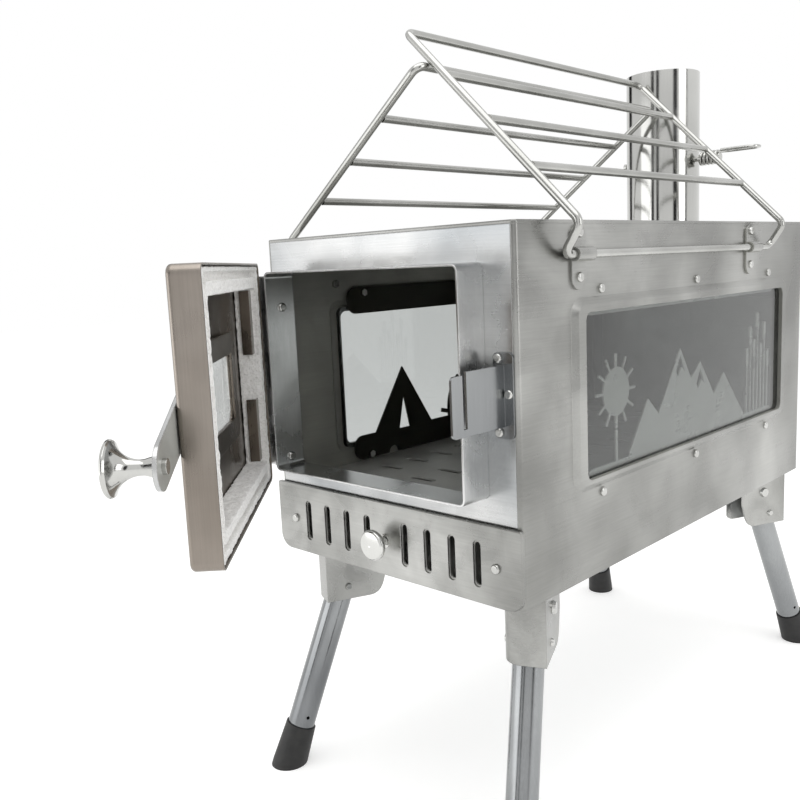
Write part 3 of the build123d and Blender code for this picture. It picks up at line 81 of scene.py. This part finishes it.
def steelMaterial(name, look):
    # rolled stainless sheet: a faint directional grain, soft smears in the gloss and a slow change of tone
    material, tree = newMaterial(name)
    place = objectPlace(tree)
    across, along = 1 / (look["grainMm"] * mm), 1 / (look["grainMm"] * look["stretch"] * mm)
    scale = tuple(along if axis == look["grain"] else across for axis in "xyz")
    stretched = addNode(tree, "ShaderNodeMapping", {"Scale": scale}, Vector=place)
    grain = addNode(tree, "ShaderNodeTexNoise", {"Scale": 1.0, "Detail": look["grainDetail"],
                    "Roughness": look["grainRoughness"]}, Vector=stretched.outputs[0])
    smear = addNode(tree, "ShaderNodeTexNoise", {"Scale": 1 / (look["smearMm"] * mm),
                    "Detail": look["smearDetail"], "Distortion": look["smearTwist"]}, Vector=place)
    tone = addNode(tree, "ShaderNodeTexNoise", {"Scale": 1 / (look["toneMm"] * mm),
                   "Detail": look["toneDetail"]}, Vector=place)
    colour = addNode(tree, "ShaderNodeValToRGB", Fac=tone.outputs["Fac"])
    setRamp(colour, zip(look["toneSpan"], (look["dark"], look["light"])))
    smearLow, smearHigh = look["smearSpan"]
    grainLow, grainHigh = look["grainSpan"]
    wiped = addNode(tree, "ShaderNodeMapRange", {"From Min": smearLow, "From Max": smearHigh,
                    "To Min": 1.0 - look["smear"], "To Max": 1.0}, Value=smear.outputs["Fac"])
    lined = addNode(tree, "ShaderNodeMapRange", {"From Min": grainLow, "From Max": grainHigh,
                    "To Min": 1.0 - look["streak"], "To Max": 1.0}, Value=grain.outputs["Fac"])
    amount = addNode(tree, "ShaderNodeMath", {"operation": "MULTIPLY"}, i0=wiped.outputs[0],
                     i1=lined.outputs[0])
    toned = addNode(tree, "ShaderNodeMix", {"data_type": "RGBA", "blend_type": "MULTIPLY", 0: 1.0},
                    i6=colour.outputs[0], i7=amount.outputs[0])
    rough = addNode(tree, "ShaderNodeMapRange", {"From Min": smearLow, "From Max": smearHigh,
                    "To Min": look["rough"][0], "To Max": look["rough"][1]}, Value=smear.outputs["Fac"])
    grainRough = addNode(tree, "ShaderNodeMath", {"operation": "MULTIPLY_ADD", 1: look["grainRough"]},
                         i0=grain.outputs["Fac"], i2=rough.outputs[0])
    rounded = addNode(tree, "ShaderNodeBevel", {"samples": look["edgeSamples"],
                      "Radius": look["edgeMm"] * mm})
    bump = addNode(tree, "ShaderNodeBump", {"Strength": look["bump"], "Distance": look["bumpMm"] * mm},
                   Height=grain.outputs["Fac"], Normal=rounded.outputs[0])
    shader = addNode(tree, "ShaderNodeBsdfPrincipled", {"Metallic": look["metal"]}, Normal=bump.outputs[0])
    base, gloss = toned.outputs[2], grainRough.outputs[0]
    # faces that look into the firebox: a painted shade tint in the colour, and heat dulling in the roughness
    # and metal
    if "inside" in look:
        mask = insideMask(tree, look)
        filmed = addNode(tree, "ShaderNodeMath", {"operation": "MULTIPLY_ADD", 1: -look["film"], 2: 1.0},
                         i0=mask)
        tree.links.new(filmed.outputs[0], shader.inputs["Metallic"])
        base = addNode(tree, "ShaderNodeMix", {"data_type": "RGBA", "blend_type": "MULTIPLY",
                       7: hexColour(look["inside"])}, i0=mask, i6=base).outputs[2]
        gloss = addNode(tree, "ShaderNodeMath", {"operation": "MULTIPLY_ADD", 1: look["insideRough"]},
                        i0=mask, i2=gloss).outputs[0]
    tree.links.new(base, shader.inputs["Base Color"])
    tree.links.new(gloss, shader.inputs["Roughness"])
    finishMaterial(tree, shader)
    return material


# satin stainless: light grey, a blurred mirror with a faint grain
satin = {"grain": "y", "grainMm": 0.9, "stretch": 40, "grainDetail": 3.0, "grainRoughness": 0.6,
         "grainSpan": (0.3, 0.7), "streak": 0.10, "smearMm": 50, "smearDetail": 4.0, "smearTwist": 0.6,
         "smearSpan": (0.35, 0.65), "smear": 0.22, "toneMm": 110, "toneDetail": 2.0,
         "toneSpan": (0.32, 0.68), "dark": "#8d8d8a", "light": "#bdbdba", "rough": (0.20, 0.36),
         "grainRough": 0.06,
         "bump": 0.02, "bumpMm": 0.05, "edgeMm": 0.8, "edgeSamples": 4, "metal": 1.0}
# the faces that look at the firebox's middle are dulled by heat, so they are rougher and less metallic, and
# they carry a faint painted shade tint for the dark firebox
firebox = {"middle": (0, 0, 268), "inwardMm": 10, "inside": "#eeeee8", "insideRough": 0.12, "film": 0.85}
# rolled sheet
steelSide = steelMaterial("satinSteelAlongBody", {**satin, **firebox})
# the front sheets: the same rolled sheet as the sides with the grain across, and a lighter tone that is painted
# light
litFrontSteel = steelMaterial("paintedLightSteelAcrossFront", {**satin, **firebox, "grain": "x", "dark": "#a8abad",
                           "light": "#d6d6d5", "rough": (0.16, 0.32), "smearMm": 35, "toneMm": 80})
# the collar and hinge leaf: near-white, a painted highlight in place of the bright reflections this steel shows
brightUprightSteel = steelMaterial("paintedBrightSteelUpright", {**satin, "grain": "z", "dark": "#d2d3d3", "light": "#f2f2f1",
                             "smear": 0.15, "rough": (0.16, 0.30)})
steelDrawer = steelMaterial("satinSteelDrawer", {**satin, "grain": "x", "dark": "#8d8d8a", "light": "#bebebb",
                            "smearMm": 25})
# the door: a warm brown-grey, a painted reflection of warm surroundings on the same satin steel
warmReflectionDoorSteel = steelMaterial("paintedWarmReflectionDoorSteel", {**satin, "grain": "z", "dark": "#766d63", "light": "#a09890"})
# the scene cut in the right window and its clamp: a lighter copy of the scene sheet, painted light
litSceneSteel = steelMaterial("paintedLightSceneCutSteel", {**satin, "dark": "#d4d4cf", "light": "#efefec", "smear": 0.06,
                           "metal": 0.6})
innerSteel = steelMaterial("heatDulledSteel", {**satin, "dark": "#b7b7b2", "light": "#d6d6d2",
                           "rough": (0.36, 0.5), "metal": 0.35})
# the scene cut in the left window and its clamp: near-black, painted shade of the sheet seen from inside the
# dark firebox, not soot
shadedSceneSteel = steelMaterial("paintedShadeSceneCutSteel", {**satin, "dark": "#35342f", "light": "#4a4944",
                          "rough": (0.42, 0.58)})
# drawn and polished stainless: a sharp mirror with faint drawing lines
polished = steelMaterial("polishedSteelTube", {**satin, "grain": "z", "grainMm": 1.2, "dark": "#b4b4b1",
                         "light": "#d0d0cd", "smear": 0.08, "streak": 0.04, "rough": (0.09, 0.17),
                         "grainRough": 0.03, "bump": 0.01, "edgeMm": 0.3})
legSteel = steelMaterial("satinSteelTube", {**satin, "grain": "z", "dark": "#7b7d7f", "light": "#a3a5a6",
                         "smear": 0.1, "rough": (0.12, 0.22), "edgeMm": 0.3})
wireSteel = steelMaterial("polishedSteelWire", {**satin, "grainMm": 1.2, "stretch": 8, "dark": "#a2a29e",
                          "light": "#c9c9c6", "smear": 0.1, "rough": (0.12, 0.2), "grainRough": 0.04,
                          "bump": 0.01, "edgeMm": 0.3})


def glassMaterial(name, look):
    # ceramic fire glass: clear with a faint grey tint and a hard gloss
    material, tree = newMaterial(name)
    smear = addNode(tree, "ShaderNodeTexNoise", {"Scale": 1 / (look["smearMm"] * mm),
                    "Detail": look["smearDetail"]}, Vector=objectPlace(tree))
    spread = addNode(tree, "ShaderNodeMapRange", {"To Min": look["rough"][0], "To Max": look["rough"][1]},
                     Value=smear.outputs["Fac"])
    shader = addNode(tree, "ShaderNodeBsdfPrincipled", {"Base Color": hexColour(look["tint"]),
                     "Transmission Weight": 1.0, "IOR": look["bend"]}, Roughness=spread.outputs[0])
    finishMaterial(tree, shader)
    return material


pane = {"smearMm": 60, "smearDetail": 3.0, "rough": (0.0, 0.03), "bend": 1.47}
windowGlass = glassMaterial("ceramicWindowGlass", {**pane, "tint": "#bcbfbe"})
doorGlass = glassMaterial("ceramicDoorGlass", {**pane, "tint": "#f3f5f4"})

# white ceramic fibre
fibre = {"strandMm": 1.6, "strandDetail": 5.0, "strandRough": 0.7, "tuftMm": 7, "tuftDetail": 2.0,
         "tuftShare": 2.0, "shades": [(0.3, "#d9d8d4"), (0.5, "#fcfbf9")], "bump": 0.7, "bumpMm": 0.5,
         "rough": 0.95, "fuzz": 0.3}
# moulded black rubber
rubber = {"pebbleMm": 0.6, "bloomMm": 9, "detail": 3.0, "shades": [(0.35, "#131313"), (0.75, "#262524")],
          "bump": 0.25, "bumpMm": 0.1, "rough": 0.55}


def fibreMaterial(name, look):
    # matt, with short tangled strands; height = tuftShare * tuft noise + strand noise
    material, tree = newMaterial(name)
    place = objectPlace(tree)
    strands = addNode(tree, "ShaderNodeTexNoise", {"Scale": 1 / (look["strandMm"] * mm),
                      "Detail": look["strandDetail"], "Roughness": look["strandRough"]}, Vector=place)
    tufts = addNode(tree, "ShaderNodeTexNoise", {"Scale": 1 / (look["tuftMm"] * mm),
                    "Detail": look["tuftDetail"]}, Vector=place)
    colour = addNode(tree, "ShaderNodeValToRGB", Fac=strands.outputs["Fac"])
    setRamp(colour, look["shades"])
    both = addNode(tree, "ShaderNodeMath", {"operation": "MULTIPLY_ADD", 1: look["tuftShare"]},
                   i0=tufts.outputs["Fac"], i2=strands.outputs["Fac"])
    bump = addNode(tree, "ShaderNodeBump", {"Strength": look["bump"], "Distance": look["bumpMm"] * mm},
                   Height=both.outputs[0])
    shader = addNode(tree, "ShaderNodeBsdfPrincipled", {"Roughness": look["rough"],
                     "Sheen Weight": look["fuzz"]}, Base_Color=colour.outputs[0], Normal=bump.outputs[0])
    finishMaterial(tree, shader)
    return material


def rubberMaterial(name, look):
    # dark, with a fine pebble and a dusty bloom
    material, tree = newMaterial(name)
    place = objectPlace(tree)
    pebble, bloom = (addNode(tree, "ShaderNodeTexNoise", {"Scale": 1 / (look[size] * mm),
                             "Detail": look["detail"]}, Vector=place) for size in ("pebbleMm", "bloomMm"))
    colour = addNode(tree, "ShaderNodeValToRGB", Fac=bloom.outputs["Fac"])
    setRamp(colour, look["shades"])
    bump = addNode(tree, "ShaderNodeBump", {"Strength": look["bump"], "Distance": look["bumpMm"] * mm},
                   Height=pebble.outputs["Fac"])
    shader = addNode(tree, "ShaderNodeBsdfPrincipled", {"Roughness": look["rough"]},
                     Base_Color=colour.outputs[0], Normal=bump.outputs[0])
    finishMaterial(tree, shader)
    return material


gasketFibre = fibreMaterial("ceramicFibreRope", fibre)
footRubber = rubberMaterial("mouldedBlackRubber", rubber)

finishes = {
    steelSide: ["side_panel_right", "side_panel_left", "cook_top", "rack_brackets"],
    litFrontSteel: ["front_panel", "rear_panel", "floor_plate", "latch_lever", "flue_spigot"],
    brightUprightSteel: ["door_collar", "hinge_leaf"],
    steelDrawer: ["drawer_front", "leg_brackets"],
    warmReflectionDoorSteel: ["door_shell", "door_knuckles", "gasket_retainers", "door_glass_frame"],
    litSceneSteel: ["window_scene_right", "window_clamp_right"],
    innerSteel: ["fire_grate", "grate_rails", "window_spacers", "ash_tray", "ash_tray_front", "damper_plate"],
    shadedSceneSteel: ["window_clamp_left", "window_scene_left"],
    polished: ["hinge_pin", "flue_pipe", "latch_knob", "drawer_knob", "damper_shaft", "window_screws",
               "hinge_screws", "keeper_rivets", "rack_screws", "leg_pins", "leg_detents", "lever_pivot_screw",
               "latch_knob_screw", "drawer_screws"],
    wireSteel: ["damper_handle", "rack_frame_right", "rack_frame_left", "rack_bars_right", "rack_bars_left"],
    windowGlass: ["window_glass_right", "window_glass_left"],
    doorGlass: ["door_glass"],
    gasketFibre: ["door_gasket"],
}
corners = ["front_right", "front_left", "rear_right", "rear_left"]
finishes[legSteel] = ["latch_keeper"] + [f"leg_tube_{corner}" for corner in corners]
finishes[footRubber] = [f"leg_foot_{corner}" for corner in corners]
for material, nodes in finishes.items():
    for node in nodes:
        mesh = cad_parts[node].data
        mesh.materials.clear()
        mesh.materials.append(material)
left = set(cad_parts) - {n for nodes in finishes.values() for n in nodes}
print("finishes set, nodes left without one:", sorted(left))

glassFit = {"gapMm": 0.15, "weldMm": 0.001}
gasketFluff = {"gridMm": 1.1, "depthMm": 1.3, "lumpMm": 3.0, "lumpDepth": 2}


def clearGlass(node, d):
    # draws the glass in by a hair, so that its back and the steel that touches it aren't one surface
    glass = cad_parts[node]
    weld = glass.modifiers.new("joinFaces", "WELD")
    weld.merge_threshold = d["weldMm"] * mm
    shrink = glass.modifiers.new("hairGap", "DISPLACE")
    shrink.mid_level = 0
    shrink.strength = -d["gapMm"] * mm


def fluffGasket(node, d):
    # an even mesh over the solid, its surface drawn inwards by a cloud of small lumps, never out of the solid
    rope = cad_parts[node]
    grid = rope.modifiers.new("evenMesh", "REMESH")
    grid.mode = "VOXEL"
    grid.voxel_size = d["gridMm"] * mm
    lumps = bpy.data.textures.new("fibreLumps", "CLOUDS")
    lumps.noise_scale = d["lumpMm"] * mm
    lumps.noise_depth = d["lumpDepth"]
    tease = rope.modifiers.new("teasedFibre", "DISPLACE")
    tease.texture = lumps
    tease.texture_coords = "LOCAL"
    tease.mid_level = 1.0
    tease.strength = d["depthMm"] * mm


for node in ("window_glass_right", "window_glass_left", "door_glass"):
    clearGlass(node, glassFit)
fluffGasket("door_gasket", gasketFluff)
print("glass and gasket detailed")


# camera: solved from the photograph's vanishing points and the casing's corners
camera = {"eye": (370.1, -565.3, 348.2), "yaw": 44.18, "pitch": -8.73, "roll": -2.64, "lens": 39.28,
          "sensor": 36, "near": 0.01, "far": 50}


def makeCamera(c):
    yaw, pitch, roll = (math.radians(c[k]) for k in ("yaw", "pitch", "roll"))
    ahead = Vector((-math.sin(yaw) * math.cos(pitch), math.cos(yaw) * math.cos(pitch), math.sin(pitch)))
    level = Vector((math.cos(yaw), math.sin(yaw), 0))
    upright = level.cross(ahead)
    right = math.cos(roll) * level + math.sin(roll) * upright
    up = -math.sin(roll) * level + math.cos(roll) * upright
    data = bpy.data.cameras.new("photoCamera")
    data.lens = c["lens"]
    data.sensor_width = c["sensor"]
    data.clip_start = c["near"]
    data.clip_end = c["far"]
    cam = bpy.data.objects.new("photoCamera", data)
    turn = Matrix((right, up, -ahead)).transposed().to_4x4()
    cam.matrix_world = Matrix.Translation(Vector(c["eye"]) * mm) @ turn
    bpy.context.scene.collection.objects.link(cam)
    bpy.context.scene.camera = cam


makeCamera(camera)

# the floor's size is in metres; the world lights at worldLight and shows as white where it is seen
studio = {"floorSize": 12.0, "floorColour": "#f6f6f5", "floorGlow": 0.4, "worldLight": 0.68}


def anyRay(tree, *kinds):
    # 1 where the ray is one of the kinds
    path = addNode(tree, "ShaderNodeLightPath")
    seen = path.outputs[kinds[0]]
    for kind in kinds[1:]:
        either = addNode(tree, "ShaderNodeMath", {"operation": "MAXIMUM"}, i0=seen, i1=path.outputs[kind])
        seen = either.outputs[0]
    return seen


def makeStudio(s):
    half = s["floorSize"] / 2
    mesh = bpy.data.meshes.new("studioFloor")
    rim = [(-half, -half, 0), (half, -half, 0), (half, half, 0), (-half, half, 0)]
    mesh.from_pydata(rim, [], [(0, 1, 2, 3)])
    floor = bpy.data.objects.new("studioFloor", mesh)
    bpy.context.scene.collection.objects.link(floor)
    material, tree = newMaterial("paleFloor")
    seen = anyRay(tree, "Is Camera Ray", "Is Glossy Ray", "Is Transmission Ray")
    plain = addNode(tree, "ShaderNodeBsdfDiffuse", {"Color": hexColour(s["floorColour"])})
    glow = addNode(tree, "ShaderNodeEmission", {"Color": hexColour("#ffffff"), "Strength": s["floorGlow"]})
    both = addNode(tree, "ShaderNodeAddShader", i0=plain.outputs[0], i1=glow.outputs[0])
    mixed = addNode(tree, "ShaderNodeMixShader", i0=seen, i1=plain.outputs[0], i2=both.outputs[0])
    finishMaterial(tree, mixed)
    mesh.materials.append(material)
    world = bpy.data.worlds.new("studioWorld")
    bpy.context.scene.world = world
    world.use_nodes = True
    tree = world.node_tree
    tree.nodes.clear()
    seen = anyRay(tree, "Is Camera Ray", "Is Glossy Ray", "Is Transmission Ray")
    strength = addNode(tree, "ShaderNodeMapRange", {"To Min": s["worldLight"], "To Max": 1.0}, Value=seen)
    back = addNode(tree, "ShaderNodeBackground", {"Color": hexColour("#ffffff")}, Strength=strength.outputs[0])
    addNode(tree, "ShaderNodeOutputWorld", Surface=back.outputs[0])
    bpy.context.scene.view_settings.view_transform = "Standard"


# dark studio flags: cards out of the camera's sight that give polished steel its dark lines
# each is bearing from +X in degrees, distance, height of its middle, width and height in metres
flags = {"colour": "#1c1d1d", "softness": 0.5,
         "cards": [(-95, 1.7, 0.75, 0.4, 2.0), (-78, 1.8, 0.9, 0.4, 2.0), (-20, 1.9, 0.8, 0.6, 2.0),
                   (18, 2.0, 0.9, 0.4, 2.0), (170, 1.9, 0.9, 0.8, 2.0)]}


def makeFlags(f):
    material, tree = newMaterial("blackFlagCloth")
    # the cloth fades out towards its rim, so that its reflection has soft edges
    coords = addNode(tree, "ShaderNodeTexCoord")
    centred = addNode(tree, "ShaderNodeMapping", {"Location": (-1, -1, 0), "Scale": (2, 2, 0)},
                      Vector=coords.outputs["UV"])
    spot = addNode(tree, "ShaderNodeTexGradient", {"gradient_type": "SPHERICAL"}, Vector=centred.outputs[0])
    fade = addNode(tree, "ShaderNodeMapRange", {"interpolation_type": "SMOOTHSTEP", "From Max": f["softness"]},
                   Value=spot.outputs["Fac"])
    cloth = addNode(tree, "ShaderNodeBsdfDiffuse", {"Color": hexColour(f["colour"])})
    clear = addNode(tree, "ShaderNodeBsdfTransparent")
    faded = addNode(tree, "ShaderNodeMixShader", i0=fade.outputs[0], i1=clear.outputs[0], i2=cloth.outputs[0])
    finishMaterial(tree, faded)
    for i, (bearing, far, height, wide, tall) in enumerate(f["cards"]):
        turn = math.radians(bearing)
        middle = np.array([math.cos(turn) * far, math.sin(turn) * far, height])
        side = np.array([-math.sin(turn), math.cos(turn), 0]) * wide / 2
        rise = np.array([0, 0, tall / 2])
        mesh = bpy.data.meshes.new(f"studioFlag{i + 1}")
        points = [middle - side - rise, middle + side - rise, middle + side + rise, middle - side + rise]
        mesh.from_pydata([tuple(p) for p in points], [], [(0, 1, 2, 3)])
        mesh.uv_layers.new(name="cardMap").data.foreach_set("uv", [0, 0, 1, 0, 1, 1, 0, 1])
        card = bpy.data.objects.new(f"studioFlag{i + 1}", mesh)
        bpy.context.scene.collection.objects.link(card)
        mesh.materials.append(material)
        for ray in ("camera", "diffuse", "shadow", "transmission"):
            setattr(card, f"visible_{ray}", False)


def areaLight(name, place, target, size, watts):
    data = bpy.data.lights.new(name, "AREA")
    data.shape = "RECTANGLE"
    data.size, data.size_y = size
    data.energy = watts
    lamp = bpy.data.objects.new(name, data)
    lamp.location = place
    lamp.rotation_euler = (Vector(target) - Vector(place)).to_track_quat("-Z", "Y").to_euler()
    bpy.context.scene.collection.objects.link(lamp)
    lamp.visible_camera = False


# name, place, target, size of the light in metres, and its power in watts
softboxes = [("topSoftbox", (0.2, -0.3, 1.6), (0, 0, 0.25), (1.4, 1.4), 9),
             ("frontSoftbox", (-0.8, -1.5, 0.32), (0, -0.1, 0.25), (1.2, 0.8), 4),
             ("sideSoftbox", (1.9, 0.2, 0.8), (0, 0, 0.25), (0.8, 1.2), 6)]
makeStudio(studio)
makeFlags(flags)
for softbox in softboxes:
    areaLight(*softbox)
print("studio set")
